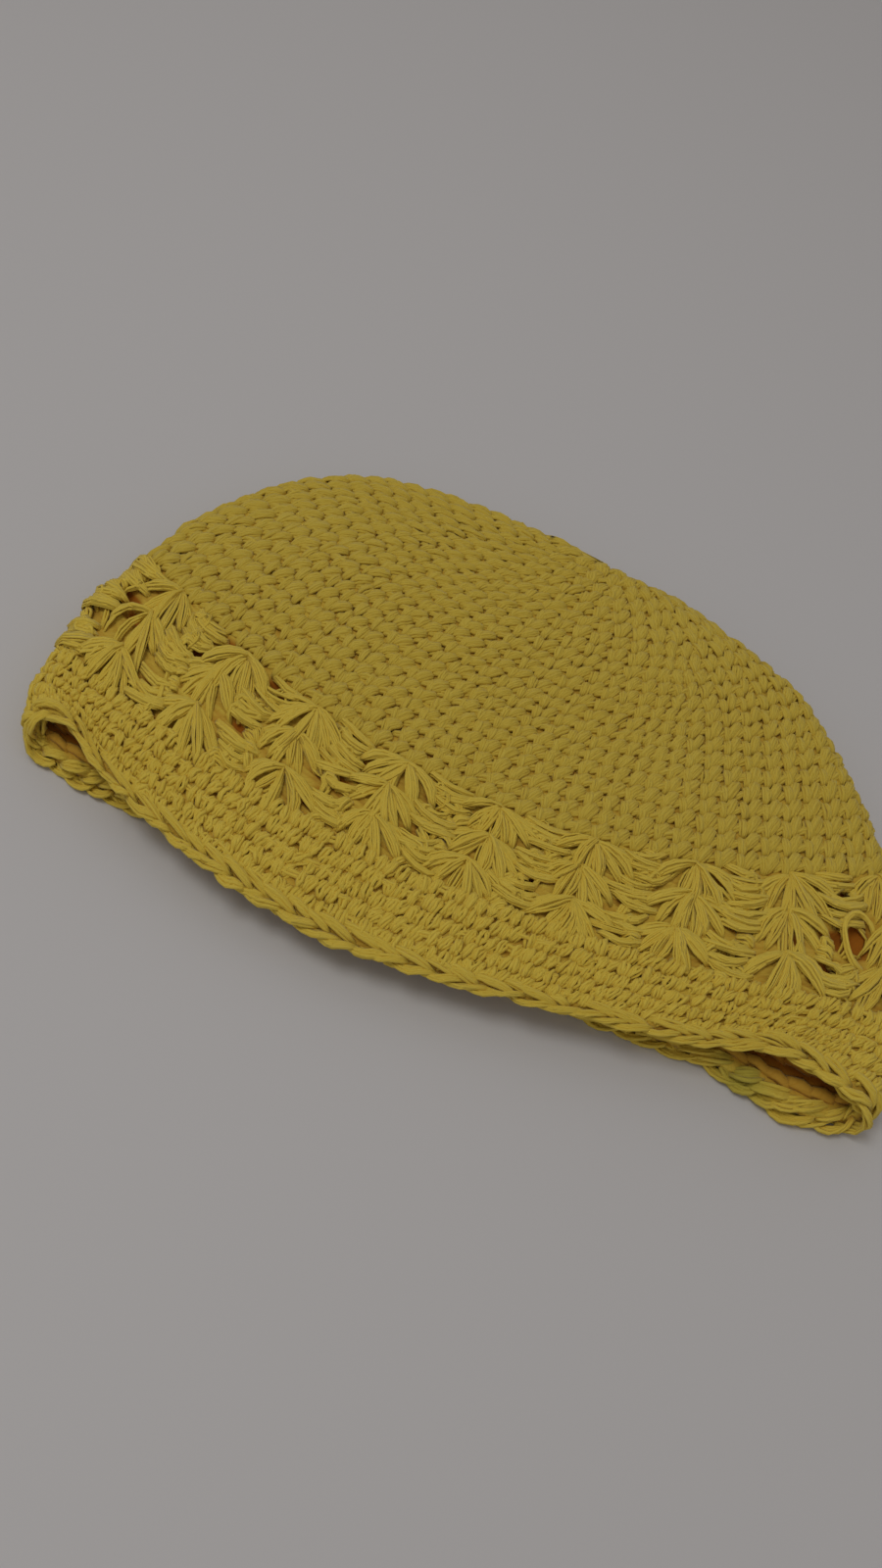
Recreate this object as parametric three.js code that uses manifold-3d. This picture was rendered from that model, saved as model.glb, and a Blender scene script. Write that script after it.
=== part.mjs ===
// A child's kufi crocheted in soft cotton, lying folded flat on one side.
// It is worked in rounds from the middle of the crown down to the rim, so every place on it is
// given by its run, the length of fabric from that middle down the centre of the upper layer,
// and by a way round: up over the left fold, across the upper layer, down over the right fold
// and back across the layer that lies underneath.
import * as THREE from 'three';
import Module from 'manifold-3d';

// The fabric and the fold, in millimetres.
const WALL = 3.2; // thickness of the crochet
const FOLD_RADIUS = 4; // middle of the fabric where it turns over at either side
const FOLD_HEIGHT = WALL / 2 + FOLD_RADIUS; // height of the folds above what the kufi lies on
const PUFF_ROUNDNESS = 0.8; // below 1, the upper layer stands puffed nearly to the folds
const GAP = 0.4; // left between neighbouring pieces
const RIM_GAP = 0.7; // wider, because the rim turns sharply at the corners of the mouth

// Where each kind of work ends, counted in millimetres of run.
const CROWN_END = 90.8;
const SHELLS_END = 112.8;
const BRIM_END = 130.6;
const RIM_END = 134;

// How finely the faces follow the fabric.
const FOLD_STEPS = 6;
const LAYER_STEPS = 22;
const CROWN_RINGS = 20;
const CROWN_SPREAD = 1.35; // above 1, the rings close up towards the middle of the crown
const CORNER_CROWDING = 0.35; // from 0 to 1, how far the steps across a layer close up by the folds
const SHELL_ROUNDS = 3;
const BRIM_ROUNDS = 5;
const CORD_SIDES = 8;
const EYELET_SIDES = 12;
const FIRST_RUN = 0.2; // no round is measured nearer than this to the middle of the crown
const FULL_FOLD = 0.999; // share of half a round's width that its folds may take up
const NEARBY = 0.4; // how far up and down the run the lie of the fabric is felt

// Tables are written as rows under named columns.
function table(columns, rows) {
  return rows.map((row) => Object.fromEntries(columns.map((column, index) => [column, row[index]])));
}

// Sections across the hat. Left and right are where a round turns over at the folds, top and
// under are how far up the hat the middle of the round lies on each layer, puff is how much
// higher than the folds the upper layer stands, bow is how round the sag is and skew moves
// its lowest place sideways.
const SECTIONS = table(
  ['run', 'leftX', 'leftY', 'rightX', 'rightY', 'topY', 'underY', 'puff', 'bow', 'skew'],
  [
    [0, -3.5, 64, -3.5, 64, 64, 64, 0, 0.5, 0],
    [6.3, -13.5, 65.8, 6.5, 63.5, 60, 60, 0, 0.55, 0],
    [20, -28.5, 66.84, 22.5, 63.4, 45.8, 47, 1.8, 0.62, 0],
    [34, -48.5, 64.3, 41.5, 56.4, 31.8, 34, 2.8, 0.75, 0],
    [49, -66, 57.3, 58, 47.7, 16.8, 20, 3.2, 0.9, 0],
    [63.5, -81, 42.2, 70.5, 34.4, 2.3, 6.4, 3.3, 1, 0],
    [78, -91.2, 21.6, 80.5, 19.4, -12.3, -7.6, 3.2, 1, -0.02],
    [90.8, -95.1, 2.4, 89, 4.4, -25.3, -19.6, 3, 1, -0.04],
    [102, -98, -14.6, 96, -11.6, -36.4, -30.1, 2.7, 1.05, 0],
    [112.8, -96.6, -31.6, 98, -29.6, -47.3, -40.1, 2.3, 1.1, 0.05],
    [124, -95.4, -43.6, 97, -42.6, -58.5, -50.1, 1.6, 1.4, 0.12],
    [134, -90.8, -53.8, 94.5, -54, -68.5, -59.6, 0.7, 2, 0.2],
  ],
);

// Dents and lifts: where each is centred and how far it reaches, down the run in millimetres
// and across a layer from -1 at the left fold to 1 at the right, and how far it pushes.
const DENTS = table(
  ['place', 'layer', 'run', 'runReach', 'across', 'acrossReach', 'pushY', 'pushZ'],
  [
    ['left mouth corner', 'upper', 134, 11, -0.93, 0.1, 4.6, 0.5],
    ['right mouth corner', 'upper', 134, 12, 0.79, 0.15, 4.4, 0.7],
    ['right corner lip', 'lower', 134, 10, 0.86, 0.12, -3.8, 0],
    ['left corner lip', 'lower', 134, 10, -0.86, 0.1, -1.5, 0],
    ['crown hollow', 'upper', 52, 16, 0.1, 0.3, 0, -1.1],
    ['crown swell', 'upper', 60, 18, -0.5, 0.25, 0, 0.9],
  ],
);

// Eyelets that stand open between shells, on the upper layer.
const EYELETS = table(
  ['place', 'run', 'across', 'wide', 'tall'],
  [
    ['right end', 102.2, 0.875, 4, 6.6],
    ['above right end', 94.8, 0.865, 4.4, 2.2],
    ['left end', 99.5, -0.915, 4, 2.2],
  ],
);

// Cotton, in the yellow of the yarn.
const COTTON = { color: 0xc8ae45, roughness: 0.95, metalness: 0 };

const COLUMNS = Object.keys(SECTIONS[0]).filter((column) => column !== 'run');

function slopeAt(index, column) {
  const before = SECTIONS[Math.max(index - 1, 0)];
  const after = SECTIONS[Math.min(index + 1, SECTIONS.length - 1)];
  return (after[column] - before[column]) / (after.run - before.run);
}

// The section at any run, on smooth curves through the table's rows.
function sectionAt(run) {
  const last = SECTIONS.length - 2;
  const found = SECTIONS.findIndex((row) => row.run > run) - 1;
  const index = found < 0 ? last : found;
  const from = SECTIONS[index];
  const to = SECTIONS[index + 1];
  const length = to.run - from.run;
  const f = (run - from.run) / length;
  const section = {};
  for (const column of COLUMNS) {
    section[column] = (2 * f ** 3 - 3 * f ** 2 + 1) * from[column]
      + (f ** 3 - 2 * f ** 2 + f) * length * slopeAt(index, column)
      + (3 * f ** 2 - 2 * f ** 3) * to[column]
      + (f ** 3 - f ** 2) * length * slopeAt(index + 1, column);
  }
  return section;
}

// Sizes of the loop that a round makes at one run: the line between its two folds, half of its
// length, the radius of the folds, and the half length of the layers between them.
function loopAt(run) {
  const section = sectionAt(run);
  const left = new THREE.Vector2(section.leftX, section.leftY);
  const right = new THREE.Vector2(section.rightX, section.rightY);
  const half = left.distanceTo(right) / 2;
  const chord = right.clone().sub(left).normalize();
  const middle = left.clone().add(right).divideScalar(2);
  const fold = FOLD_RADIUS * Math.sin(Math.min(run / FOLD_RADIUS, Math.PI / 2));
  const radius = Math.min(fold, half * FULL_FOLD);
  return { run, section, half, chord, middle, radius, flat: half - radius };
}

// One point of the middle of the fabric, from its place along the loop's chord and its height
// before the layer is puffed, sagged and dented.
function fabricPoint({ run, section, half, chord, middle, radius }, along, height) {
  const across = THREE.MathUtils.clamp(along / half, -1, 1);
  const inward = 1 - across ** 2;
  const leaning = across + section.skew * inward;
  const sag = Math.max(0, 1 - leaning ** 2) ** section.bow;
  const upper = THREE.MathUtils.clamp(((height - FOLD_HEIGHT) / radius + 1) / 2, 0, 1);
  const reach = THREE.MathUtils.lerp(middle.y - section.underY, middle.y - section.topY, upper);
  const puff = section.puff * upper * inward ** PUFF_ROUNDNESS;
  const point = new THREE.Vector3(
    middle.x + chord.x * along,
    middle.y + chord.y * along - reach * sag,
    height + puff,
  );
  for (const dent of DENTS) {
    const runAway = (run - dent.run) / dent.runReach;
    const acrossAway = (across - dent.across) / dent.acrossReach;
    const share = dent.layer === 'upper' ? upper : 1 - upper;
    const strength = Math.exp(-(runAway ** 2) - acrossAway ** 2) * share;
    point.y += dent.pushY * strength;
    point.z += dent.pushZ * strength;
  }
  return point;
}

// Steps across a layer from -1 to 1, closer together by the folds.
function shareAcross(step) {
  const share = step / LAYER_STEPS;
  return 2 * share - 1 - (CORNER_CROWDING * Math.sin(2 * Math.PI * share)) / Math.PI;
}

// The middle of the fabric all the way round at one run, as a closed ring of points.
function ringAt(run) {
  const loop = loopAt(run);
  const { radius, flat } = loop;
  const ring = [];
  for (let step = 0; step < FOLD_STEPS; step += 1) {
    const turn = -Math.PI / 2 - (Math.PI * step) / FOLD_STEPS;
    ring.push(fabricPoint(loop, -flat + radius * Math.cos(turn), FOLD_HEIGHT + radius * Math.sin(turn)));
  }
  for (let step = 0; step < LAYER_STEPS; step += 1) {
    ring.push(fabricPoint(loop, flat * shareAcross(step), FOLD_HEIGHT + radius));
  }
  for (let step = 0; step < FOLD_STEPS; step += 1) {
    const turn = Math.PI / 2 - (Math.PI * step) / FOLD_STEPS;
    ring.push(fabricPoint(loop, flat + radius * Math.cos(turn), FOLD_HEIGHT + radius * Math.sin(turn)));
  }
  for (let step = 0; step < LAYER_STEPS; step += 1) {
    ring.push(fabricPoint(loop, -flat * shareAcross(step), FOLD_HEIGHT - radius));
  }
  return ring;
}

// The ring again, with the way out of the fabric at each point.
function frameAt(run) {
  const ring = ringAt(run);
  const above = ringAt(Math.max(run - NEARBY, FIRST_RUN));
  const below = ringAt(Math.min(run + NEARBY, RIM_END));
  return ring.map((point, index) => {
    const next = ring[(index + 1) % ring.length];
    const previous = ring[(index + ring.length - 1) % ring.length];
    const around = new THREE.Vector3().subVectors(next, previous).normalize();
    const down = new THREE.Vector3().subVectors(below[index], above[index]).normalize();
    const out = new THREE.Vector3().crossVectors(down, around).normalize();
    return { point, out };
  });
}

function shifted(frame, alongOut) {
  return frame.point.clone().addScaledVector(frame.out, alongOut);
}

// A mesh of rings joined one to the next, with every face turned outwards.
function bandedMesh(rings, closeRows) {
  const around = rings[0].length;
  const positions = rings.flat().flatMap((point) => [point.x, point.y, point.z]);
  const triangles = [];
  const rows = closeRows ? rings.length : rings.length - 1;
  for (let row = 0; row < rows; row += 1) {
    for (let step = 0; step < around; step += 1) {
      const a = row * around + step;
      const b = row * around + ((step + 1) % around);
      const c = ((row + 1) % rings.length) * around + step;
      const d = ((row + 1) % rings.length) * around + ((step + 1) % around);
      triangles.push(a, c, b, b, c, d);
    }
  }
  return { positions, triangles, around };
}

function toGeometry({ positions, triangles }) {
  const geometry = new THREE.BufferGeometry();
  geometry.setAttribute('position', new THREE.Float32BufferAttribute(positions, 3));
  geometry.setIndex(triangles);
  return geometry;
}

// A tube of fabric between two runs: outside from top to bottom, then inside back up.
function fabricTube(runs) {
  const frames = runs.map(frameAt);
  const outside = frames.map((ring) => ring.map((frame) => shifted(frame, WALL / 2)));
  const inside = frames.map((ring) => ring.map((frame) => shifted(frame, -WALL / 2)));
  return bandedMesh([...outside, ...inside.reverse()], true);
}

// The crown is a cup: the same, with the outside and the inside each closed at the middle.
function fabricCup(runs) {
  const frames = runs.map(frameAt);
  const outside = frames.map((ring) => ring.map((frame) => shifted(frame, WALL / 2)));
  const inside = frames.map((ring) => ring.map((frame) => shifted(frame, -WALL / 2)));
  const mesh = bandedMesh([...outside, ...inside.reverse()], false);
  const { positions, triangles, around } = mesh;
  const start = SECTIONS[0];
  const middle = new THREE.Vector3(start.leftX, start.leftY, FOLD_HEIGHT);
  const outer = positions.length / 3;
  const inner = outer + 1;
  positions.push(middle.x, middle.y + WALL / 2, middle.z);
  positions.push(middle.x, middle.y - WALL / 2, middle.z);
  const lastRow = outer - around;
  for (let step = 0; step < around; step += 1) {
    const next = (step + 1) % around;
    triangles.push(outer, step, next);
    triangles.push(inner, lastRow + next, lastRow + step);
  }
  return mesh;
}

// The rim is finished with a round of slip stitches that lies along it like a cord.
function rimCord(from, to) {
  const middle = (from + to) / 2;
  const halfDeep = (to - from) / 2;
  const rings = [];
  for (let side = 0; side < CORD_SIDES; side += 1) {
    const turn = (2 * Math.PI * (side + 0.5)) / CORD_SIDES;
    const stretch = 1 / Math.cos(Math.PI / CORD_SIDES);
    const out = (WALL / 2) * stretch * Math.cos(turn);
    rings.push(frameAt(middle + halfDeep * stretch * Math.sin(turn)).map((frame) => shifted(frame, out)));
  }
  return bandedMesh(rings, true);
}

// Evenly spaced runs, with half of the gap left at each end.
function runsBetween(from, to, count, gapBelow = GAP) {
  const first = from + GAP / 2;
  const length = to - gapBelow / 2 - first;
  return Array.from({ length: count + 1 }, (_, index) => first + (length * index) / count);
}

const crownRuns = Array.from({ length: CROWN_RINGS }, (_, index) => (
  (CROWN_END - GAP / 2) * ((index + 1) / CROWN_RINGS) ** CROWN_SPREAD
));

const shellRuns = runsBetween(CROWN_END, SHELLS_END, 2 * SHELL_ROUNDS);
const brimRuns = runsBetween(SHELLS_END, BRIM_END, BRIM_ROUNDS, RIM_GAP);

// Cuts the eyelets through the upper layer of the shell band.
const wasm = await Module();
wasm.setup();

function toManifold({ positions, triangles }) {
  return new wasm.Manifold(new wasm.Mesh({
    numProp: 3,
    vertProperties: new Float32Array(positions),
    triVerts: new Uint32Array(triangles),
  }));
}

function eyeletPlug(eyelet) {
  const loop = loopAt(eyelet.run);
  const centre = fabricPoint(loop, loop.half * eyelet.across, FOLD_HEIGHT + loop.radius);
  const low = centre.z - WALL;
  const positions = [];
  const triangles = [];
  for (const height of [low, centre.z + WALL]) {
    for (let side = 0; side < EYELET_SIDES; side += 1) {
      const turn = (2 * Math.PI * side) / EYELET_SIDES;
      positions.push(centre.x + (eyelet.wide / 2) * Math.cos(turn));
      positions.push(centre.y + (eyelet.tall / 2) * Math.sin(turn), height);
    }
  }
  for (let side = 0; side < EYELET_SIDES; side += 1) {
    const next = (side + 1) % EYELET_SIDES;
    triangles.push(side, next, EYELET_SIDES + side, next, EYELET_SIDES + next, EYELET_SIDES + side);
  }
  for (let side = 2; side < EYELET_SIDES; side += 1) {
    triangles.push(0, side, side - 1);
    triangles.push(EYELET_SIDES, EYELET_SIDES + side - 1, EYELET_SIDES + side);
  }
  return { positions, triangles };
}

function withEyelets(mesh) {
  let solid = toManifold(mesh);
  for (const eyelet of EYELETS) {
    solid = solid.subtract(toManifold(eyeletPlug(eyelet)));
  }
  const { vertProperties, triVerts } = solid.getMesh();
  return { positions: [...vertProperties], triangles: [...triVerts] };
}

function piece(name, mesh) {
  const part = new THREE.Mesh(toGeometry(mesh), new THREE.MeshStandardMaterial(COTTON));
  part.name = name;
  return part;
}

const kufi = new THREE.Group();
kufi.add(piece('crown', fabricCup(crownRuns)));
kufi.add(piece('shell_band', withEyelets(fabricTube(shellRuns))));
kufi.add(piece('brim_band', fabricTube(brimRuns)));
kufi.add(piece('rim_edge', rimCord(BRIM_END + RIM_GAP / 2, RIM_END)));

export default kufi;
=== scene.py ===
import math

import bpy
import numpy as np
from mathutils import Matrix, Vector


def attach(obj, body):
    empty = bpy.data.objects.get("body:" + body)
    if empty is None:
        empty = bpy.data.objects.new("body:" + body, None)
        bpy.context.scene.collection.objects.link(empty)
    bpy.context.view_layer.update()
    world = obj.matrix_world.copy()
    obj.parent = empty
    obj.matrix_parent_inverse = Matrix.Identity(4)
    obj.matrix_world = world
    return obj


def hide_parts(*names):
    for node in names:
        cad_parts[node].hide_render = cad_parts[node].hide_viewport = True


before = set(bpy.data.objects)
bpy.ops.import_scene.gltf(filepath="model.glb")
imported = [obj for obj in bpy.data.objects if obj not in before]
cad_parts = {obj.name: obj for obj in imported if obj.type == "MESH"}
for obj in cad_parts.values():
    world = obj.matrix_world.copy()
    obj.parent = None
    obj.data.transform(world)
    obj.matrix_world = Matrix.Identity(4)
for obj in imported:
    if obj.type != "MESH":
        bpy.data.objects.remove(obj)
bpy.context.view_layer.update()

# ---------------------------------------------------------------------------------------------
# The camera, the table and the light. The kufi is seen from above its rim, the camera a little
# turned, and lies on a plain pale table. Soft light comes from above and a little from the left,
# with a faint light behind and the pale room all round.

METRE = 0.001  # lengths below are in millimetres
CAMERA_AT = (13.7, -186.2, 221.6)
CAMERA_LOOKS = (-0.0852, 0.6067, -0.7903)
CAMERA_RIGHT = (0.9094, 0.3714, 0.1871)
LENS = 28.69  # on a sensor whose long side is 36
TABLE_SIZE = 3000
TABLE_COLOUR = (0.615, 0.61, 0.615, 1)
TABLE_ROUGHNESS = 0.6

camera_data = bpy.data.cameras.new("camera")
camera_data.lens = LENS
camera = bpy.data.objects.new("camera", camera_data)
bpy.context.scene.collection.objects.link(camera)
looks = Vector(CAMERA_LOOKS).normalized()
right = (Vector(CAMERA_RIGHT) - Vector(CAMERA_RIGHT).dot(looks) * looks).normalized()
turned = Matrix((right, right.cross(looks), -looks)).transposed().to_4x4()
camera.matrix_world = Matrix.Translation(Vector(CAMERA_AT) * METRE) @ turned
bpy.context.scene.camera = camera
bpy.context.scene.view_settings.view_transform = "Standard"


def deselect_all():
    if bpy.context.object and bpy.context.object.mode != "OBJECT":
        bpy.ops.object.mode_set(mode="OBJECT")
    bpy.ops.object.select_all(action="DESELECT")


deselect_all()
bpy.ops.mesh.primitive_plane_add(size=TABLE_SIZE * METRE)
table = bpy.context.object
table.name = "table"
table_top = bpy.data.materials.new("table_top")
table_top.use_nodes = True
table_shader = table_top.node_tree.nodes["Principled BSDF"]
table_shader.inputs["Base Color"].default_value = TABLE_COLOUR
table_shader.inputs["Roughness"].default_value = TABLE_ROUGHNESS
table.data.materials.append(table_top)

# Where each lamp is, where it points, its size, its power and its colour; then the room's own
# light, its colour and its strength.
LAMPS = (
    ("window", (-320, -190, 930), (0, 0, 0), 400, 2.0, (1.0, 0.985, 0.97)),
    ("room", (-350, 650, 700), (0, 0, 0), 900, 0.15, (1.0, 0.97, 0.95)),
)
ROOM_COLOUR = (1.0, 0.945, 0.91, 1)
ROOM_STRENGTH = 0.30
for name, place, target, size, power, colour in LAMPS:
    lamp_data = bpy.data.lights.new(name, "AREA")
    lamp_data.size = size * METRE
    lamp_data.energy = power
    lamp_data.color = colour
    lamp = bpy.data.objects.new(name, lamp_data)
    bpy.context.scene.collection.objects.link(lamp)
    lamp.location = Vector(place) * METRE
    lamp.rotation_euler = (Vector(target) - Vector(place)).to_track_quat("-Z", "Y").to_euler()
world = bpy.data.worlds.new("room_light")
world.use_nodes = True
background = world.node_tree.nodes["Background"]
background.inputs["Color"].default_value = ROOM_COLOUR
background.inputs["Strength"].default_value = ROOM_STRENGTH
bpy.context.scene.world = world

# ---------------------------------------------------------------------------------------------
# The crown: single crochet in twenty-two rounds, from a ring of six stitches at the middle out
# to seventy-eight. Each stitch is a plump loop whose two legs spread over the round below it.

WALL = 3.2  # thickness of the fabric
FOLD_RADIUS = 4.0  # middle of the fabric where it turns over at either side
FOLD_HEIGHT = WALL / 2 + FOLD_RADIUS
PUFF_ROUNDNESS = 0.8  # below 1, the upper layer stands puffed nearly to the folds
FULL_FOLD = 0.999  # share of half a round's width that its folds may take up
RIM_RUN = 134.0  # how far the fabric runs from the middle of the crown to the rim
FOLD_PARTS = 24  # in how many parts a quarter of a fold and a layer are measured
LAYER_PARTS = 240

# Sections across the hat, down its run from the middle of the crown: where a round turns over
# at the left and right folds, how far up the middle of each layer lies, how much the upper
# layer is puffed, how round the sag is and how much it leans.
SECTIONS = np.array((
    (0, -3.5, 64, -3.5, 64, 64, 64, 0, 0.5, 0),
    (6.3, -13.5, 65.8, 6.5, 63.5, 60, 60, 0, 0.55, 0),
    (20, -28.5, 66.84, 22.5, 63.4, 45.8, 47, 1.8, 0.62, 0),
    (34, -48.5, 64.3, 41.5, 56.4, 31.8, 34, 2.8, 0.75, 0),
    (49, -66, 57.3, 58, 47.7, 16.8, 20, 3.2, 0.9, 0),
    (63.5, -81, 42.2, 70.5, 34.4, 2.3, 6.4, 3.3, 1, 0),
    (78, -91.2, 21.6, 80.5, 19.4, -12.3, -7.6, 3.2, 1, -0.02),
    (90.8, -95.1, 2.4, 89, 4.4, -25.3, -19.6, 3, 1, -0.04),
    (102, -98, -14.6, 96, -11.6, -36.4, -30.1, 2.7, 1.05, 0),
    (112.8, -96.6, -31.6, 98, -29.6, -47.3, -40.1, 2.3, 1.1, 0.05),
    (124, -95.4, -43.6, 97, -42.6, -58.5, -50.1, 1.6, 1.4, 0.12),
    (134, -90.8, -53.8, 94.5, -54, -68.5, -59.6, 0.7, 2, 0.2),
))
# Dents and lifts: on the upper layer or not, run, reach down the run, place across from -1 to
# 1, reach across, push along Y and push up.
DENTS = (
    (True, 134, 11, -0.93, 0.1, 4.6, 0.5),
    (True, 134, 12, 0.79, 0.15, 4.4, 0.7),
    (False, 134, 10, 0.86, 0.12, -3.8, 0),
    (False, 134, 10, -0.86, 0.1, -1.5, 0),
    (True, 52, 16, 0.1, 0.3, 0, -1.1),
    (True, 60, 18, -0.5, 0.25, 0, 0.9),
    (True, 134, 24, -0.12, 0.55, 0, -2.0),
)


def section_at(run):
    """The section at any run, on smooth curves through the rows."""
    runs, columns = SECTIONS[:, 0], SECTIONS[:, 1:]
    rows = np.arange(len(runs))
    before, after = np.maximum(rows - 1, 0), np.minimum(rows + 1, rows[-1])
    slope = (columns[after] - columns[before]) / (runs[after] - runs[before])[:, None]
    row = int(np.clip(np.searchsorted(runs, run, side="right") - 1, 0, rows[-1] - 1))
    length = runs[row + 1] - runs[row]
    f = (run - runs[row]) / length
    return (
        (2 * f**3 - 3 * f**2 + 1) * columns[row]
        + (f**3 - 2 * f**2 + f) * length * slope[row]
        + (3 * f**2 - 2 * f**3) * columns[row + 1]
        + (f**3 - f**2) * length * slope[row + 1]
    )


def ring_at(run):
    """The middle of the fabric once round at one run: up over the left fold, across the upper
    layer, down over the right fold and back underneath."""
    left_x, left_y, right_x, right_y, top_y, under_y, puff, bow, skew = section_at(run)
    half = math.hypot(right_x - left_x, right_y - left_y) / 2
    chord = np.array((right_x - left_x, right_y - left_y)) / (2 * half)
    middle = np.array((left_x + right_x, left_y + right_y)) / 2
    fold = FOLD_RADIUS * math.sin(min(run / FOLD_RADIUS, math.pi / 2))
    radius = min(fold, half * FULL_FOLD)
    flat = half - radius
    turn = np.linspace(0, math.pi / 2, FOLD_PARTS, endpoint=False)
    share = np.linspace(-1, 1, LAYER_PARTS, endpoint=False)
    along = np.concatenate((
        -flat - radius * np.cos(turn), flat * share, flat + radius * np.sin(turn),
        flat + radius * np.cos(turn), -flat * share, -flat - radius * np.sin(turn),
    ))
    height = np.concatenate((
        radius * np.sin(turn), np.full(LAYER_PARTS, radius), radius * np.cos(turn),
        -radius * np.sin(turn), np.full(LAYER_PARTS, -radius), -radius * np.cos(turn),
    ))
    across = np.clip(along / half, -1, 1)
    inward = 1 - across**2
    sag = np.maximum(0, 1 - (across + skew * inward) ** 2) ** bow
    upper = np.clip((height / radius + 1) / 2, 0, 1)
    reach = (1 - upper) * (middle[1] - under_y) + upper * (middle[1] - top_y)
    y = middle[1] + chord[1] * along - reach * sag
    z = FOLD_HEIGHT + height + puff * upper * inward**PUFF_ROUNDNESS
    for on_upper, dent_run, run_reach, dent_across, across_reach, push_y, push_z in DENTS:
        away = ((run - dent_run) / run_reach) ** 2 + ((across - dent_across) / across_reach) ** 2
        strength = np.exp(-away) * (upper if on_upper else 1 - upper)
        y = y + push_y * strength
        z = z + push_z * strength
    return np.stack((middle[0] + chord[0] * along, y, z), axis=-1)


# The fabric is looked up in a grid: a row for every half millimetre of run, and ways round
# that are evenly spaced along the round, 0 and 1 at the left fold and 0.5 at the right.
RUN_STEP = 0.5
FIRST_RUN = 0.25
WAYS = 480
LOWEST = 0.05  # yarn is pressed flat where the kufi lies on the table
grid_runs = np.arange(FIRST_RUN, RIM_RUN + RUN_STEP / 2, RUN_STEP)
grid = np.zeros((len(grid_runs), WAYS, 3))
loop_lengths = np.zeros(len(grid_runs))
for row, run in enumerate(grid_runs):
    ring = ring_at(run)
    ring = np.vstack((ring, ring[:1]))
    lengths = np.concatenate(((0,), np.cumsum(np.linalg.norm(np.diff(ring, axis=0), axis=1))))
    loop_lengths[row] = lengths[-1]
    stops = np.linspace(0, lengths[-1], WAYS, endpoint=False)
    grid[row] = np.stack([np.interp(stops, lengths, ring[:, axis]) for axis in range(3)], axis=-1)
grid_out = np.cross(np.gradient(grid, axis=0), np.roll(grid, -1, axis=1) - np.roll(grid, 1, axis=1))
grid_out /= np.linalg.norm(grid_out, axis=-1, keepdims=True)


def loop_length(run):
    return np.interp(run, grid_runs, loop_lengths)


def on_fabric(run, way, out):
    """Where a place on the fabric is, in metres, from its run, its way round as a share of
    the round and its height out of the middle of the fabric."""
    down = np.clip((run - FIRST_RUN) / RUN_STEP, 0, None)
    row = np.clip(down.astype(int), 0, len(grid_runs) - 2)
    row_share = (down - row)[..., None]
    round_way = np.mod(way, 1) * WAYS
    column = np.clip(round_way.astype(int), 0, WAYS - 1)
    column_share = (round_way - column)[..., None]
    after = (column + 1) % WAYS

    def blended(values):
        upper_row = values[row, column] * (1 - column_share) + values[row, after] * column_share
        lower_row = values[row + 1, column] * (1 - column_share)
        lower_row = lower_row + values[row + 1, after] * column_share
        return upper_row * (1 - row_share) + lower_row * row_share

    outward = blended(grid_out)
    outward /= np.linalg.norm(outward, axis=-1, keepdims=True)
    place = blended(grid) + outward * out[..., None]
    place[..., 2] = np.maximum(place[..., 2], LOWEST)
    return place * METRE


def straight_bar(sides, steps):
    """A length of yarn before it is bent: a round bar one unit thick, extruded in steps, as its
    rings, the turn of each corner, and its faces."""
    deselect_all()
    bpy.ops.mesh.primitive_circle_add(vertices=sides, radius=1, fill_type="NGON")
    bar = bpy.context.object
    bpy.ops.object.mode_set(mode="EDIT")
    for _ in range(steps):
        bpy.ops.mesh.extrude_region_move(TRANSFORM_OT_translate={"value": (0, 0, 1)})
    bpy.ops.mesh.select_all(action="SELECT")
    bpy.ops.mesh.normals_make_consistent(inside=False)
    bpy.ops.object.mode_set(mode="OBJECT")
    corners = np.array([corner.co for corner in bar.data.vertices])
    ring = np.rint(corners[:, 2]).astype(int)
    turn = np.mod(np.arctan2(corners[:, 1], corners[:, 0]) / (2 * math.pi), 1)
    turn[turn > 1 - 1e-4] = 0
    faces = [list(face.vertices) for face in bar.data.polygons]
    bpy.data.objects.remove(bar)
    return {"ring": ring, "turn": turn, "faces": faces, "steps": steps}


def smooth_route(points, steps):
    """Evenly numbered points on a smooth curve through the route's points, the last axis
    being down, round, out and thickness."""
    points = np.asarray(points, float)
    count = points.shape[-2]
    before = 2 * points[..., :1, :] - points[..., 1:2, :]
    beyond = 2 * points[..., -1:, :] - points[..., -2:-1, :]
    padded = np.concatenate((before, points, beyond), axis=-2)
    stops = np.linspace(0, count - 1, steps + 1)
    index = np.minimum(stops.astype(int), count - 2)
    f = (stops - index)[:, None]
    p0, p1, p2, p3 = (padded[..., index + shift, :] for shift in range(4))
    bend = 2 * p0 - 5 * p1 + 4 * p2 - p3
    twist = 3 * p1 - p0 - 3 * p2 + p3
    return 0.5 * (2 * p1 + (p2 - p0) * f + bend * f**2 + twist * f**3)


# Where the yarn is pulled aside and leaves a hole: run, way, half its height and half its width.
# A length that still comes nearer to its middle than HOLE_HEART of that is left out.
HOLE_HEART = 0.7
HOLES = (
    (102.3, 0.4667, 2.9, 2.5),
    (94.8, 0.4625, 0.9, 2.4),
    (97.3, 0.4521, 1.0, 0.9),
    (108.3, 0.4521, 0.8, 1.8),
    (103.8, 0.4312, 1.0, 1.0),
    (98.2, 0.0250, 0.9, 2.2),
    (100.4, 0.0350, 0.9, 1.8),
    (94.2, 0.3896, 0.8, 1.6),
    (91.8, 0.0917, 0.8, 1.5),
    (94.8, 0.1354, 0.8, 1.5),
)


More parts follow.
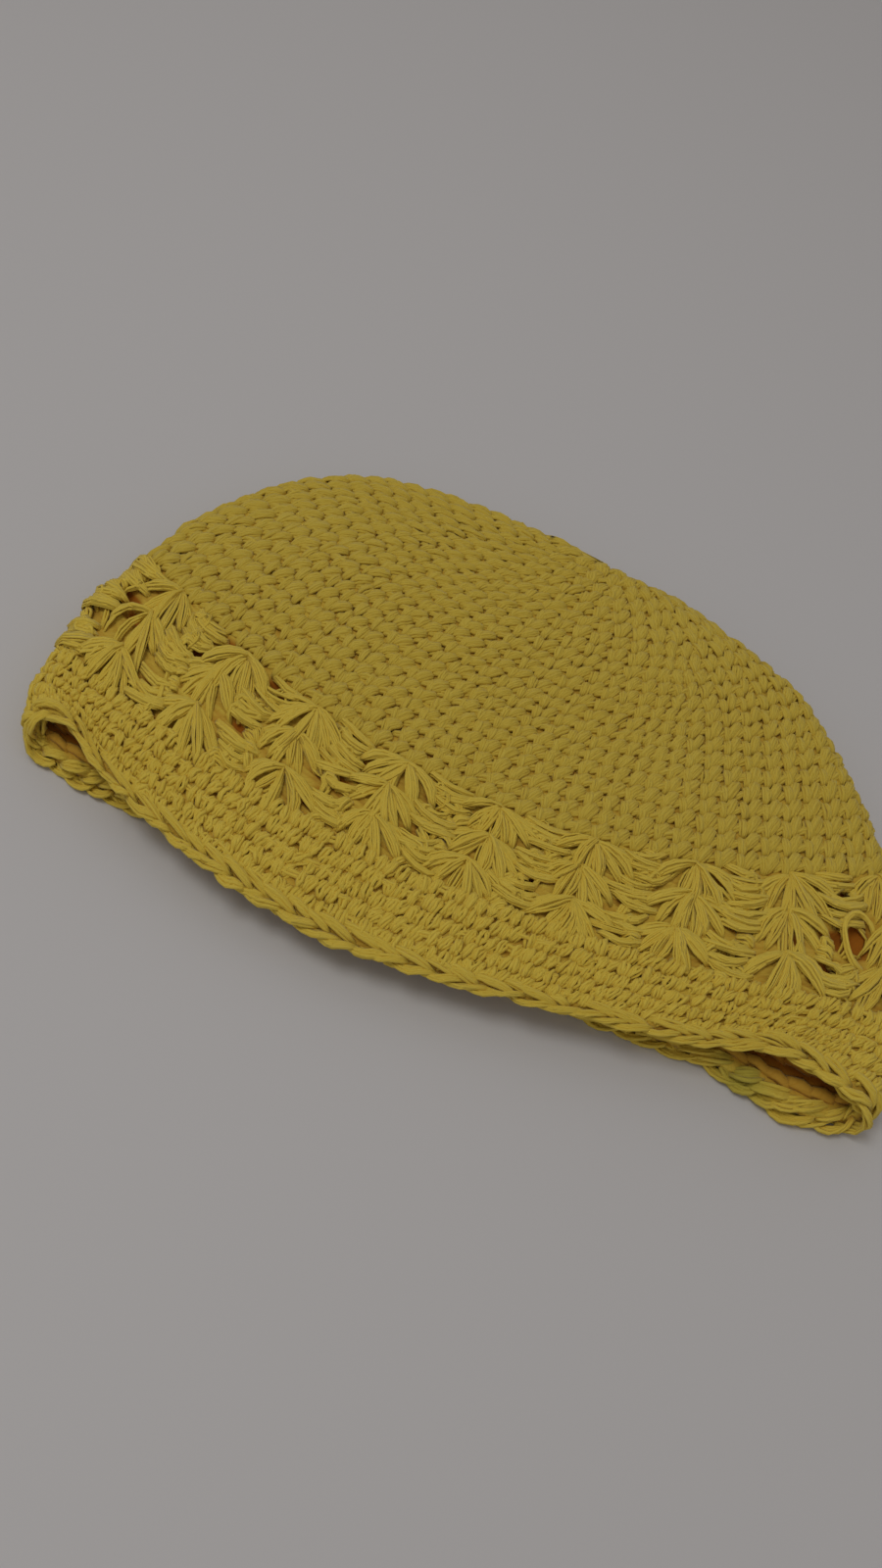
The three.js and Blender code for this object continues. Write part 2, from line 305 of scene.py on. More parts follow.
def pulled_aside(runs, ways):
    """The same places, moved out of the holes and round their edges."""
    for hole_run, hole_way, half_height, half_width in HOLES:
        length = loop_length(hole_run)
        down = (runs - hole_run) / half_height
        aside = (np.mod(ways - hole_way + 0.5, 1) - 0.5) * length / half_width
        reach = np.maximum(np.hypot(down, aside), 1e-3)
        pushed = (reach**3 + 1) ** (1 / 3) / reach - 1
        runs = runs + down * pushed * half_height
        ways = ways + aside * pushed * half_width / length
    return runs, ways


def across_a_hole(runs, ways):
    """Which lengths still cross a hole after they are pulled aside. These are left out."""
    middle_runs, middle_ways = (runs[:, 1:] + runs[:, :-1]) / 2, (ways[:, 1:] + ways[:, :-1]) / 2
    crosses = np.zeros(len(runs), bool)
    for hole_run, hole_way, half_height, half_width in HOLES:
        aside = (np.mod(middle_ways - hole_way + 0.5, 1) - 0.5) * loop_length(hole_run) / half_width
        reach = np.hypot((middle_runs - hole_run) / half_height, aside)
        crosses |= (reach < HOLE_HEART).any(axis=1)
    return crosses


ODD_WAY = (0.31, 0.17, 0.94)  # a direction that no length of yarn runs along


def bent_yarn(bar, routes, runs, ways, wide=1.0, deep=1.0, depth=(1, 0)):
    """Copies of the bar, each bent along its own route and laid on the fabric. A route is down,
    round, out and thickness in millimetres, from the stitch's own run and way. What is kept as
    the height of the yarn, which sets its painted shade, is its out times the first of depth plus
    the second."""
    lengths_round = loop_length(runs)[:, None]
    centre_runs, centre_ways = pulled_aside(
        runs[:, None] + routes[..., 0], ways[:, None] + routes[..., 1] / lengths_round
    )
    whole = ~across_a_hole(centre_runs, centre_ways)
    routes, lengths_round = routes[whole], lengths_round[whole]
    centre_runs, centre_ways = centre_runs[whole], centre_ways[whole]
    centres, thick = routes[..., :3], routes[..., 3]
    tangent = np.gradient(centres, axis=1)
    tangent /= np.maximum(np.linalg.norm(tangent, axis=-1, keepdims=True), 1e-9)
    side = np.zeros_like(centres)
    start = np.cross(tangent[:, 0], ODD_WAY)
    side[:, 0] = start / np.linalg.norm(start, axis=-1, keepdims=True)
    for step in range(1, centres.shape[1]):
        carried = side[:, step - 1]
        carried = carried - (carried * tangent[:, step]).sum(-1, keepdims=True) * tangent[:, step]
        side[:, step] = carried / np.linalg.norm(carried, axis=-1, keepdims=True)
    across = np.cross(tangent, side)
    ring, turn = bar["ring"], bar["turn"] * 2 * math.pi
    spread = np.cos(turn)[:, None] * side[:, ring] + np.sin(turn)[:, None] * across[:, ring]
    spread = spread * np.array((wide, wide, deep))
    spread = spread * thick[:, ring, None]
    corner_runs = np.maximum(centre_runs[:, ring] + spread[..., 0], FIRST_RUN)
    corner_ways = centre_ways[:, ring] + spread[..., 1] / lengths_round
    out = centres[:, ring, 2] + spread[..., 2]
    places = on_fabric(corner_runs, corner_ways, out)
    step_lengths = np.linalg.norm(np.diff(centres, axis=1), axis=-1)
    lengths = np.concatenate((np.zeros((len(centres), 1)), np.cumsum(step_lengths, axis=1)), axis=1)
    out = out * depth[0] + depth[1]
    return {"bar": bar, "places": places, "lengths": lengths[:, ring], "out": out}


SHADE_SEED = 7
LATE_TURN, EARLY_TURN = 0.6, 0.1  # a side face with corners beyond both closes the turn


def joined_mesh(name, batches, material):
    """One object of many bent lengths of yarn, with the length and the turn of each corner as
    its UV map and its height out of the fabric, which sets its painted shade, and a number for
    each length as attributes."""
    places, loops, sizes, lengths, turns, outs, shades = [], [], [], [], [], [], []
    first = 0
    random = np.random.default_rng(SHADE_SEED)
    for batch in batches:
        bar, count, corners = batch["bar"], len(batch["places"]), batch["places"].shape[1]
        order = np.concatenate([np.array(face) for face in bar["faces"]])
        turn = []
        for face in bar["faces"]:
            face_turn = bar["turn"][face]
            wraps = len(face) == 4 and face_turn.max() > LATE_TURN
            turn.append(np.where(wraps & (face_turn < EARLY_TURN), face_turn + 1, face_turn))
        turn = np.concatenate(turn)
        places.append(batch["places"].reshape(-1, 3))
        loops.append((order[None] + first + corners * np.arange(count)[:, None]).ravel())
        sizes.append(np.tile([len(face) for face in bar["faces"]], count))
        lengths.append(batch["lengths"][:, order].ravel())
        turns.append(np.tile(turn, count))
        outs.append(batch["out"].ravel())
        shades.append(np.repeat(random.random(count), corners))
        first += count * corners
    places, loops, sizes = np.concatenate(places), np.concatenate(loops), np.concatenate(sizes)
    mesh = bpy.data.meshes.new(name)
    mesh.vertices.add(len(places))
    mesh.vertices.foreach_set("co", places.ravel())
    mesh.loops.add(len(loops))
    mesh.loops.foreach_set("vertex_index", loops)
    mesh.polygons.add(len(sizes))
    mesh.polygons.foreach_set("loop_start", np.concatenate(((0,), np.cumsum(sizes)[:-1])))
    mesh.polygons.foreach_set("use_smooth", np.ones(len(sizes), bool))
    mesh.update(calc_edges=True)
    along = np.stack((np.concatenate(lengths), np.concatenate(turns)), axis=-1)
    mesh.uv_layers.new(name="yarn").data.foreach_set("uv", along.ravel())
    for attribute, values in (("out", outs), ("length_shade", shades)):
        kept = mesh.attributes.new(attribute, "FLOAT", "POINT")
        kept.data.foreach_set("value", np.concatenate(values))
    mesh.materials.append(material)
    piece = bpy.data.objects.new(name, mesh)
    bpy.context.scene.collection.objects.link(piece)
    return piece


class Value:
    """A number or colour coming out of a node, so that shader maths reads as arithmetic."""

    def __init__(self, tree, socket):
        self.tree = tree
        self.socket = socket

    def node(self, kind, settings=None, output=0, **inputs):
        """Any node, from its settings and its inputs by name, or by number as i0 and i1."""
        made = self.tree.nodes.new(kind)
        for key, value in (settings or {}).items():
            setattr(made, key, value)
        for key, value in inputs.items():
            numbered = key[0] == "i" and key[1:].isdigit()
            socket = made.inputs[int(key[1:]) if numbered else key]
            if isinstance(value, Value):
                self.tree.links.new(value.socket, socket)
            else:
                socket.default_value = value
        return Value(self.tree, made.outputs[output])

    def maths(self, operation, *values):
        inputs = {f"i{index}": value for index, value in enumerate(values)}
        return self.node("ShaderNodeMath", {"operation": operation}, **inputs)

    def __add__(self, other):
        return self.maths("ADD", self, other)

    def __sub__(self, other):
        return self.maths("SUBTRACT", self, other)

    def __rsub__(self, other):
        return self.maths("SUBTRACT", other, self)

    def __mul__(self, other):
        return self.maths("MULTIPLY", self, other)

    __radd__ = __add__
    __rmul__ = __mul__

    def clamped(self, low, high):
        """0 at low, 1 at high, even between them and no further beyond."""
        return self.node(
            "ShaderNodeMapRange", {"clamp": True}, **{"Value": self, "From Min": low, "From Max": high}
        )

    def mixed(self, first, second):
        """The first colour where this is 0 and the second where it is 1."""
        made = self.tree.nodes.new("ShaderNodeMix")
        made.data_type = "RGBA"
        self.tree.links.new(self.socket, made.inputs[0])
        for index, value in ((6, first), (7, second)):
            if isinstance(value, Value):
                self.tree.links.new(value.socket, made.inputs[index])
            else:
                made.inputs[index].default_value = value
        return Value(self.tree, made.outputs[2])


# The yarn is loosely twisted cotton: its colour where fibres catch the light, between, a painted
# shade in the grooves of the twist, and a darker, redder painted shade in the depth of the fabric.
COTTON_LIGHT = (0.745, 0.575, 0.092, 1)
COTTON_MID = (0.69, 0.505, 0.064, 1)
COTTON_SHADE = (0.635, 0.455, 0.053, 1)
COTTON_PAINTED_DEEP_SHADE = (0.42, 0.145, 0.012, 1)
# The twist: threads that wind round a strand, how much each turns in a millimetre, how much
# that differs from one strand to the next, and how finely and how far it wanders.
THREADS = 3
TWIST = 0.35
OWN_TWIST = 7
WANDER_SCALE, WANDER_BY = 420.0, 2.2
GROOVE = 0.45  # how much of the way from one groove to the next is shaded
# Fibres along a strand, round it and slanting across it, and patches of tone over the whole.
FIBRES_ALONG, FIBRES_ROUND, FIBRES_SLANT, OWN_FIBRES = 1.3, 26, 0.8, 40
MOTTLE_SCALE = 60.0
# How much fibres, patches and the strand itself make the tone, and where it turns pale.
FUZZ_TONE, MOTTLE_TONE, OWN_TONE, LESS_TONE = 0.6, 0.3, 0.25, 0.05
TONE_FROM, TONE_TO = 0.2, 0.85
MARK_CORE = 0.3  # the share of a mark's reach that it soils fully
ROUGHNESS, FUZZ_ROUGHNESS = 0.8, 0.15
SPECULAR = 0.12
SHEEN, SHEEN_ROUGHNESS, SHEEN_TINT = 0.25, 0.45, (1.0, 0.88, 0.5, 1)
STRAND_RELIEF, FUZZ_RELIEF = 0.8, 0.35


def cotton(name, painted_shade_from=-0.2, painted_shade_to=-1.6, painted_brightness=1.0, ridge=0.00005, marks=()):
    """Loose cotton yarn: threads wind round each strand with painted shade in the grooves between
    them, fibres fuzz it, some strands and patches are paler, and between two heights it darkens
    and reddens into the depth of the fabric as painted shade. All its colours are scaled by a
    painted brightness that lightens or darkens one piece against the others. Each mark is a
    place, a reach and a colour that soils it there."""
    # Every colour is scaled by the painted brightness of this piece.
    shade, middle_tone, light = (
        tuple(painted_brightness * part for part in colour[:3]) + (1,)
        for colour in (COTTON_SHADE, COTTON_MID, COTTON_LIGHT)
    )
    material = bpy.data.materials.new(name)
    material.use_nodes = True
    tree = material.node_tree
    shader = tree.nodes["Principled BSDF"]
    start = Value(tree, None)
    uv = start.node("ShaderNodeUVMap", {"uv_map": "yarn"})
    split = tree.nodes.new("ShaderNodeSeparateXYZ")
    tree.links.new(uv.socket, split.inputs[0])
    length, turn = Value(tree, split.outputs[0]), Value(tree, split.outputs[1])
    own = start.node("ShaderNodeAttribute", {"attribute_name": "length_shade"}, output=2)
    out = start.node("ShaderNodeAttribute", {"attribute_name": "out"}, output=2)
    place = start.node("ShaderNodeTexCoord", output=3)

    def noise(at, scale, detail):
        inputs = {"Vector": at, "Scale": scale, "Detail": detail}
        return start.node("ShaderNodeTexNoise", {"noise_dimensions": "3D"}, **inputs)

    wander = noise(place, WANDER_SCALE, 1.0)
    winding = turn * THREADS + length * TWIST + own * OWN_TWIST + wander * WANDER_BY
    strand = start.maths("ABSOLUTE", start.maths("SINE", winding * math.pi))
    fibre_round = turn * FIBRES_ROUND + length * FIBRES_SLANT
    fibre_place = {"X": length * FIBRES_ALONG, "Y": fibre_round, "Z": own * OWN_FIBRES}
    fuzz = noise(start.node("ShaderNodeCombineXYZ", **fibre_place), 1.0, 2.0)
    mottle = noise(place, MOTTLE_SCALE, 2.0)
    tone = fuzz * FUZZ_TONE + mottle * MOTTLE_TONE + own * OWN_TONE - LESS_TONE
    cotton_colour = tone.clamped(TONE_FROM, TONE_TO).mixed(middle_tone, light)
    # Painted shade in the grooves of the twist.
    cotton_colour = strand.clamped(0.0, GROOVE).mixed(shade, cotton_colour)
    # A darker, redder painted shade where the yarn lies deep, from the height kept as out.
    colour = out.clamped(painted_shade_from, painted_shade_to).mixed(cotton_colour, COTTON_PAINTED_DEEP_SHADE)
    for middle, reach, mark_colour in marks:
        ends = {"i0": place, "i1": Vector(middle) * METRE}
        away = start.node("ShaderNodeVectorMath", {"operation": "DISTANCE"}, output=1, **ends)
        away = away + (mottle - 0.5) * (reach * METRE)
        soiled = away.clamped(reach * METRE, MARK_CORE * reach * METRE)
        colour = soiled.mixed(colour, mark_colour)
    tree.links.new(colour.socket, shader.inputs["Base Color"])
    tree.links.new((fuzz * FUZZ_ROUGHNESS + ROUGHNESS).socket, shader.inputs["Roughness"])
    shader.inputs["Specular IOR Level"].default_value = SPECULAR
    shader.inputs["Sheen Weight"].default_value = SHEEN
    shader.inputs["Sheen Roughness"].default_value = SHEEN_ROUGHNESS
    shader.inputs["Sheen Tint"].default_value = SHEEN_TINT
    relief = {"Height": strand * STRAND_RELIEF + fuzz * FUZZ_RELIEF, "Distance": ridge, "Strength": 1.0}
    tree.links.new(start.node("ShaderNodeBump", **relief).socket, shader.inputs["Normal"])
    return material


# The two legs of a single crochet as they show: the left one slants over the top of the stitch
# and the right one is a short upright bean beneath its end. Columns: how far down as a share of
# the round's height, how far round as a share of the stitch's width, how far out of the fabric
# in millimetres, how full the strands are and half the width over which they spread.
LEFT_LEG = (
    (-0.10, 0.34, -0.55, 0.90, 0.50),
    (0.06, 0.25, 0.60, 1.05, 0.85),
    (0.31, 0.06, 0.98, 1.10, 1.10),
    (0.58, -0.14, 0.98, 1.10, 1.10),
    (0.83, -0.29, 0.60, 1.05, 0.88),
    (1.01, -0.40, -0.55, 0.90, 0.50),
)
RIGHT_LEG = (
    (0.14, 0.61, -0.55, 0.90, 0.50),
    (0.30, 0.60, 0.58, 1.05, 0.85),
    (0.54, 0.58, 0.98, 1.10, 1.05),
    (0.80, 0.55, 0.95, 1.05, 0.98),
    (1.02, 0.52, 0.60, 0.95, 0.72),
    (1.24, 0.48, -0.55, 0.80, 0.38),
)
# The body of the stitch lies lower, between the two legs.
BODY = (
    (0.84, -0.06, -0.40, 0.90, 0.40),
    (0.76, 0.08, 0.40, 1.05, 0.60),
    (0.64, 0.30, 0.55, 1.10, 0.65),
    (0.52, 0.74, 0.55, 1.10, 0.60),
    (0.46, 0.88, 0.40, 1.05, 0.50),
    (0.40, 1.02, -0.40, 0.90, 0.40),
)
STITCH = ((LEFT_LEG, 5), (RIGHT_LEG, 4), (BODY, 3))  # and the strands that show in each part
# How many stitches each round has.
CROWN_STITCHES = (
    6, 12, 18, 25, 32, 38, 44, 50, 55, 60, 64, 68, 71, 73, 75, 76, 77, 78, 78, 78, 78, 78,
)
FIRST_HEIGHT = 4.45  # of a round; each after it is a little less
HEIGHT_LOSS = 0.031
CROWN_LEAN = 0.25  # how much of a stitch each round sets off from the one above
STRAND = 0.44  # half the thickness of one strand of the yarn
ARCH = 0.55  # how much a length's middle strands stand proud of its outer ones
WANDER = 0.12  # how far loose strands stray
UNEVEN = 0.10  # how much their spread, height and thickness differ
CLOSE = 0.5  # how much of that the strands of close stitches stray
# Stitches differ in place along the round, turn, place, height and spread.
STRAY_WAY, STRAY_TURN, STRAY_PLACE, STRAY_OUT, STRAY_SPREAD = 0.03, 0.07, 0.09, 0.12, 0.08
FULL_WIDTH = 4.8  # of a stitch; the strands of narrower ones spread less
# A plain whole length: how many strands thick, how much wider than that and how much flatter.
PLAIN, PLAIN_WIDE, PLAIN_DEEP = 2.5, 1.1, 0.8
# Detailed stitches start this much before the left fold and go this far round, as shares of
# the round, or they lie within this run of the crown's middle.
SEEN_BEFORE, SEEN_ROUND, SEEN_RUN = 0.04, 0.58, 12
# The stitches of a round: two worked in one stand this much of a stitch either way of it, and
# then all of them are eased this many times, by this much, towards even spacing.
DOUBLED_ASIDE = 0.25
EVENING, EASE = 3, 0.4

leg_bar = straight_bar(sides=4, steps=5)
plain_bar = straight_bar(sides=5, steps=5)


def spread_strands(lines, strands, random, loose=1.0, arch=ARCH):
    """Routes for loose strands spread to either side of each line. The columns of a line are
    down, round, out, fullness and half the width of the spread."""
    copies, points = lines.shape[:2]
    forward = np.gradient(lines[..., :2], axis=1)
    forward /= np.maximum(np.linalg.norm(forward, axis=-1, keepdims=True), 1e-6)
    sideways = np.stack((-forward[..., 1], forward[..., 0]), axis=-1)[:, None]
    share = ((np.arange(strands) + 0.5) / strands * 2 - 1)[None, :, None]
    share = share + random.normal(0, UNEVEN * loose, (copies, strands, 1))
    offset = share * lines[:, None, :, 4]
    routes = np.repeat(lines[:, None, :, :4], strands, axis=1)
    routes[..., :2] += offset[..., None] * sideways
    routes[..., 2] += arch * (1 - share**2) + random.normal(0, UNEVEN * loose, (copies, strands, 1))
    routes[..., :3] += random.normal(0, WANDER * loose, (copies, strands, points, 3))
    routes[..., 3] *= STRAND * random.normal(1, UNEVEN, (copies, strands, 1))
    return routes.reshape(copies * strands, points, 4)


def seen(ways, run):
    """Whether a stitch is on the upper layer or a fold, or so near the crown's middle that it
    shows from behind. The rest lie face down and are made of whole lengths of yarn."""
    return (np.mod(ways + SEEN_BEFORE, 1) < SEEN_ROUND) | (run < SEEN_RUN)


def next_ways(ways, count, lean, random):
    """Where the stitches of the next round go: over those of the round above, leaning back a
    little, with any more of them worked two in one, evenly spread."""
    if not len(ways):
        return np.arange(count) / count
    more = count - len(ways)
    picked = (np.arange(more) + random.random()) * len(ways) / max(more, 1)
    doubled = np.unique(np.clip(picked.astype(int), 0, len(ways) - 1))
    repeats = np.ones(len(ways), int)
    repeats[doubled] = 2
    source = np.repeat(np.arange(len(ways)), repeats)
    first = np.concatenate(((True,), np.diff(source) > 0))
    either_way = np.where(first, -DOUBLED_ASIDE, DOUBLED_ASIDE)
    aside = np.where(repeats[source] == 2, either_way, 0)
    new = ways[source] + (aside - lean) / count
    for _ in range(EVENING):
        before = np.concatenate((new[-1:] - 1, new[:-1]))
        after = np.concatenate((new[1:], new[:1] + 1))
        new = new + EASE * ((before + after) / 2 - new)
    return new


def single_crochet(top_run, height, ways, parts, random, proud=1.0, unruly=1.0):
    """One round of single crochet, each stitch made of the parts given. The last part of each
    is left out on the face-down layer. Proud is how high they stand and unruly how much they
    and their strands stray."""
    count = len(ways)
    width = loop_length(top_run + height / 2) / count
    ways = ways + random.normal(0, STRAY_WAY, count) / count
    shows = seen(ways, top_run)
    batches = []
    for part, strands in parts:
        lines = np.tile(np.array(part), (count, 1, 1))
        lines[..., :2] *= (height, width)
        middle = lines[..., :2].mean(axis=1, keepdims=True)
        turn = unruly * random.normal(0, STRAY_TURN, (count, 1))
        down, way_round = np.moveaxis(lines[..., :2] - middle, -1, 0)
        lines[..., 0] = middle[..., 0] + down * np.cos(turn) + way_round * np.sin(turn)
        lines[..., 1] = middle[..., 1] + way_round * np.cos(turn) - down * np.sin(turn)
        lines[..., :2] += random.normal(0, STRAY_PLACE * unruly, (count, 1, 2))
        lines[..., 2] *= np.where(lines[..., 2] > 0, proud, 1)
        lines[..., 2] += random.normal(0, STRAY_OUT, (count, 1))
        lines[..., 4] *= min(1.0, width / FULL_WIDTH) * random.normal(1, STRAY_SPREAD, (count, 1))
        routes = spread_strands(lines[shows], strands, random, CLOSE * unruly)
        routes = smooth_route(routes, leg_bar["steps"])
        runs = np.full(len(routes), top_run)
        batches.append(bent_yarn(leg_bar, routes, runs, np.repeat(ways[shows], strands)))
        plain = lines[~shows][..., :4] * (1, 1, 1, PLAIN * STRAND)
        if len(plain) and part is not parts[-1][0]:
            routes = smooth_route(plain, plain_bar["steps"])
            runs = np.full(len(routes), top_run)
            plain = bent_yarn(plain_bar, routes, runs, ways[~shows], PLAIN_WIDE, PLAIN_DEEP)
            batches.append(plain)
    return batches


# Rounds of the crown in each piece.
CROWN_PIECES = {"crown_middle": (0, 11), "crown_slope": (11, 17), "crown_side": (17, 22)}
CROWN_MARKS = (((-13.3, 63, 11), 1.0, (0.03, 0.03, 0.03, 1)),)  # a dark speck near the top
crown_random = np.random.default_rng(11)
# The crown's yarn is painted a little darker than the other pieces, and its painted shade of the depth
# starts higher out of the fabric.
crown_yarn = cotton("crown_yarn", 0.50, -0.30, painted_brightness=0.95, marks=CROWN_MARKS)
ways, top_run = np.zeros(0), 0.0
for name, (first_round, end_round) in CROWN_PIECES.items():
    batches = []
    for round_number in range(first_round, end_round):
        ways = next_ways(ways, CROWN_STITCHES[round_number], CROWN_LEAN, crown_random)
        height = FIRST_HEIGHT - HEIGHT_LOSS * round_number
        batches += single_crochet(top_run, height, ways, STITCH, crown_random)
        top_run += height
    piece = joined_mesh(name, batches, crown_yarn)
    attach(piece, "root")
    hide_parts("crown")

# ---------------------------------------------------------------------------------------------
# The shell band: three rounds of shells, eighteen to a round and stacked in columns. The posts
# of a shell all spring from one place and hang in a fan, each a leaf of loose strands. Between
# the columns are valleys, crossed by slack yarn with deep slits beneath it, darkened with
# painted shade.

SHELL_COLUMNS = 18
SHELL_TOPS = (91.3, 98.4, 106.0)  # the run at which the shells of each round spring
FIRST_SHELL_WAY = 0.2688 - 4 / SHELL_COLUMNS  # the way round of the first column
SHELL_LEAN = 0.0042  # how far each round of shells sets off, as a share of the round
# Where each post of a shell ends: down and round from the place that it springs from.
POST_ENDS = (
    (4.2, -8.6), (6.5, -6.6), (8.1, -4.2), (8.8, -1.5), (8.8, 1.5), (8.1, 4.2), (6.5, 6.6), (4.2, 8.6),
)
# Along a post: share of its length, out, fullness and half the width of its spread strands.
POST = (
    (-0.14, -1.2, 0.8, 0.25),
    (0.04, 0.5, 0.95, 0.35),
    (0.30, 1.0, 1.0, 0.90),
    (0.62, 1.15, 1.0, 1.25),
    (0.92, 0.80, 0.9, 0.85),
    (1.14, -0.7, 0.7, 0.25),
)
# Lengths that lie between two columns, one unit long or high: slack yarn that sags across, a
# loop that curls up, and a short lump of yarn that fills the foot of the valley.
SLACK = (
    (-0.7, -1.0, -0.8, 0.8, 0.25),
    (0.0, -0.65, 0.8, 1.0, 0.55),
    (0.8, -0.2, 1.2, 1.0, 0.75),
    (0.9, 0.25, 1.2, 1.0, 0.75),
    (0.1, 0.65, 0.8, 1.0, 0.55),
    (-0.6, 1.0, -0.8, 0.8, 0.25),
)
CURL = (
    (1.1, -1.0, -0.8, 0.9, 0.3),
    (0.2, -0.95, 0.7, 1.0, 0.45),
    (-0.5, -0.5, 1.2, 1.0, 0.5),
    (-0.5, 0.5, 1.2, 1.0, 0.5),
    (0.2, 1.0, 0.7, 1.0, 0.45),
    (1.1, 1.1, -0.8, 0.9, 0.3),
)
LUMP = (
    (0.0, -1.0, -0.6, 1.1, 0.5),
    (0.1, -0.65, 0.3, 1.2, 0.9),
    (-0.1, -0.2, 0.65, 1.3, 1.1),
    (-0.1, 0.2, 0.65, 1.3, 1.1),
    (0.1, 0.65, 0.3, 1.2, 0.9),
    (0.0, 1.0, -0.6, 1.1, 0.5),
)
# How many of each are in a valley and of how many strands, how far down and how far round they
# lie at least and at most, their least and greatest height and half length, and how far they
# turn either way, in degrees.
VALLEY = (
    (SLACK, 4, 8, (-0.6, 5.6), (-0.8, 0.8), (0.5, 1.5), (4.8, 6.6), 14),
    (CURL, 2, 7, (0.5, 6.5), (-3.0, 3.0), (1.2, 2.4), (0.9, 1.8), 60),
    (LUMP, 5, 5, (0.0, 8.0), (-4.2, 4.2), (0.8, 1.4), (1.7, 2.5), 65),
)
POST_STRANDS = 10
HIDDEN_STRANDS = 2  # strands in each length on the face-down layer
# The shells on the left fold bulge out: about where, how far round, and least and most.
BULGE_WAY = 0.01
BULGE_REACH = 0.05
BULGE = (0.0, 0.7)
THIN = 0.74  # the shells' strands are thinner than those of the close stitches
# Shells differ in size, between two shares of it, and in run and way. Posts differ in end, bend,
# height and spread, and droop more the farther round they reach.
SHELL_SIZES = (0.90, 1.10)
SHELL_RUN_STRAY, SHELL_WAY_STRAY = 0.3, 0.002
POST_STRAY, POST_BEND, POST_OUT_STRAY, POST_SPREAD_STRAY = 0.7, 0.7, 0.35, 0.15
DROOP = 0.03
# Lengths in a valley differ in line and height, and each keeps to its own share of the valley.
VALLEY_STRAY, VALLEY_OUT_STRAY, OWN_SHARE = 0.12, 0.2, (0.2, 0.8)

shell_bar = straight_bar(sides=3, steps=6)


def shell_posts(random):
    """The middle line of each post of one shell."""
    ends = np.array(POST_ENDS) * random.uniform(*SHELL_SIZES)
    ends = ends + random.normal(0, POST_STRAY, (len(POST_ENDS), 2))
    along, out, full, half = np.array(POST).T
    lines = np.zeros((len(ends), len(along), 5))
    droop = 1 + DROOP * np.abs(ends[:, 1:])
    lines[..., 0] = ends[:, :1] * np.sign(along) * np.abs(along) ** droop
    lines[..., 1] = ends[:, 1:] * np.sign(along) * np.abs(along) ** (1 / np.sqrt(droop))
    bend = random.normal(0, POST_BEND, (len(ends), 1))
    lines[..., 1] += np.sin(math.pi * np.clip(along, 0, 1)) * bend
    lines[..., 2] = out + random.normal(0, POST_OUT_STRAY, (len(ends), 1))
    lines[..., 3] = full * THIN
    lines[..., 4] = half * random.normal(1, POST_SPREAD_STRAY, (len(ends), 1))
    return lines


def valley_lines(kind, random):
    """The middle lines of one kind of length in one valley."""
    shape, count, _, downs, rounds, heights, halves, most_turn = kind
    lines = np.tile(np.array(shape), (count, 1, 1))
    lines[:, 1:-1, :2] += random.normal(0, VALLEY_STRAY, (count, len(shape) - 2, 2))
    lines[..., 0] *= random.uniform(*heights, (count, 1))
    lines[..., 1] *= random.uniform(*halves, (count, 1))
    turn = np.radians(random.uniform(-most_turn, most_turn, (count, 1)))
    down, way_round = lines[..., 0].copy(), lines[..., 1].copy()
    shares = (np.arange(count) + random.uniform(*OWN_SHARE, count))[:, None] / count
    lines[..., 0] = down * np.cos(turn) + way_round * np.sin(turn)
    lines[..., 0] += downs[0] + (downs[1] - downs[0]) * shares
    lines[..., 1] = way_round * np.cos(turn) - down * np.sin(turn)
    lines[..., 1] += random.uniform(*rounds, (count, 1))
    lines[..., 2] += random.normal(0, VALLEY_OUT_STRAY, (count, 1))
    lines[..., 3] *= THIN
    return lines


# One loop on the right stands up and curls round the largest hole: the round of shells that it
# belongs to, the run and way of its middle, and its line in millimetres from there.
EYELET_ROUND = 1
EYELET_AT = HOLES[0][:2]
EYELET_STRANDS = 9
EYELET_LOOP = (
    (4.4, 2.0, -0.8, 0.7, 0.3),
    (3.4, -1.0, 0.9, 0.75, 0.4),
    (0.9, -2.9, 1.6, 0.75, 0.5),
    (-2.1, -2.7, 1.9, 0.75, 0.5),
    (-3.5, 0.2, 1.8, 0.75, 0.5),
    (-2.3, 2.8, 1.2, 0.75, 0.4),
    (-0.4, 4.6, -0.8, 0.7, 0.3),
)
eyelet_bar = straight_bar(sides=4, steps=18)
shell_random = np.random.default_rng(5)
